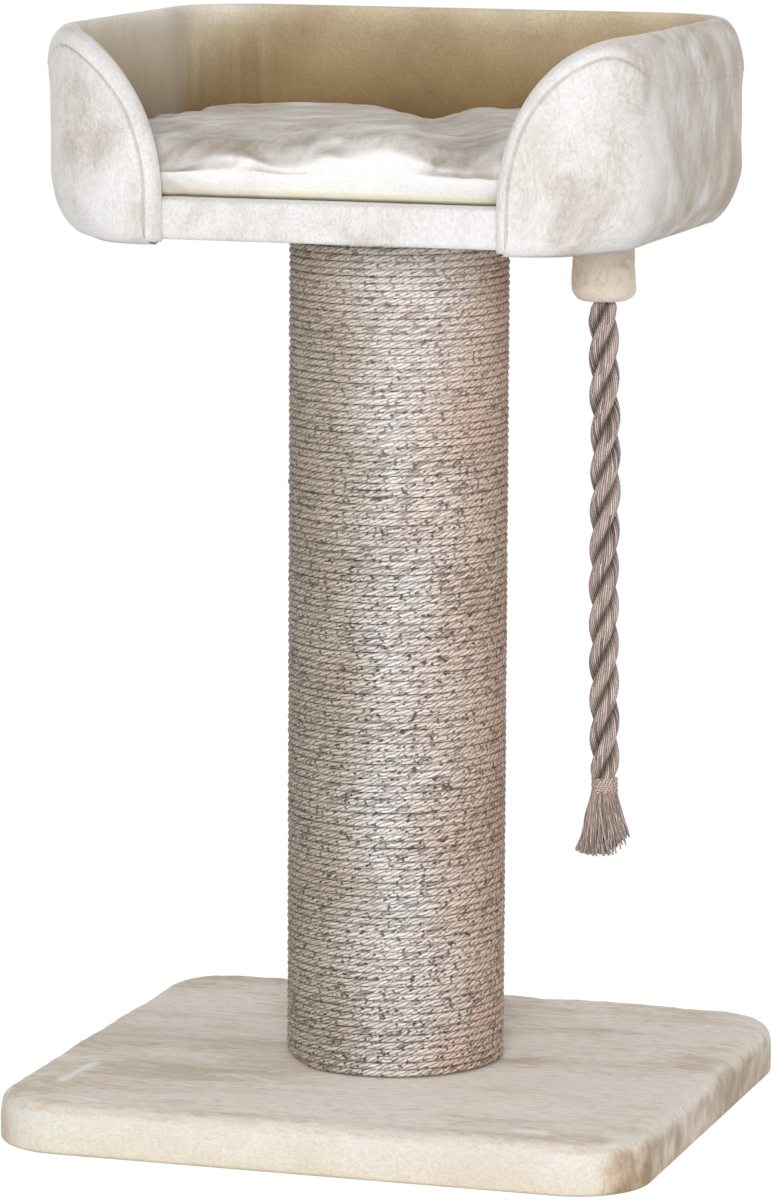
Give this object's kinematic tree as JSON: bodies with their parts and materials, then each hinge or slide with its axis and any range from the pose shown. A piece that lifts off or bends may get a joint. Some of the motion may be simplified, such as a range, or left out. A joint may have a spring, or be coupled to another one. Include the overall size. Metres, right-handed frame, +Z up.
{
  "type": "cat scratching post",
  "caption": "Cat scratching post: a padded sofa-shaped bed with a loose cushion on a rope-wound column, a plush base and a hanging rope toy.",
  "frame": {"origin": "centre of the base's underside, on the axis of the post", "axes": "+Z up along the post, -Y out of the open front of the bed, +X towards the side that the rope toy hangs on"},
  "size_m": [0.605, 0.57, 1],
  "materials": {
    "plush": "short pile",
    "lining": "short pile",
    "filling": "matte",
    "sisal": "rough",
    "rope": "rough",
    "board": "matte",
    "paper_tube": "matte",
    "steel": "zinc plated"
  },
  "bodies": {
    "stand": {"base_board": "board", "base_cover": "plush", "base_staples": "steel", "base_bolts": "steel", "base_washers": "steel", "post_tube": "paper_tube", "post_bottom_plug": "board", "post_top_plug": "board", "plug_nails": "steel", "bottom_tee_nuts": "steel", "top_tee_nuts": "steel", "sisal_bottom_turns": "sisal", "sisal_sleeve": "sisal", "sisal_top_turns": "sisal", "bed_board": "board", "bed_board_cover": "plush", "bed_bolts": "steel", "bed_washers": "steel", "wall_panel": "board", "wall_screws": "steel", "wall_outer_cover": "plush", "wall_lining": "lining", "boss_core": "board", "boss_cover": "plush", "boss_stud": "steel", "boss_tee_nut": "steel", "rope_root": "rope"},
    "cushion": {"cushion_cover": "plush", "cushion_filling": "filling"},
    "rope_neck": {"rope_neck": "rope"},
    "rope": {"toy_rope": "rope", "rope_whipping": "rope", "rope_tassel": "rope"}
  },
  "joints": [
    {"name": "cushion_lift", "type": "slide", "parent": "stand", "child": "cushion", "axis": [0, 0, 1], "range_m": [0, 0.2]},
    {"name": "rope_swing_front", "type": "hinge", "parent": "stand", "child": "rope_neck", "pos_m": [0.1915, 0, 0.745], "axis": [1, 0, 0], "range_deg": [-35, 35]},
    {"name": "rope_swing_side", "type": "hinge", "parent": "rope_neck", "child": "rope", "pos_m": [0.1915, 0, 0.745], "axis": [0, 1, 0], "range_deg": [-40, 6]}
  ]
}
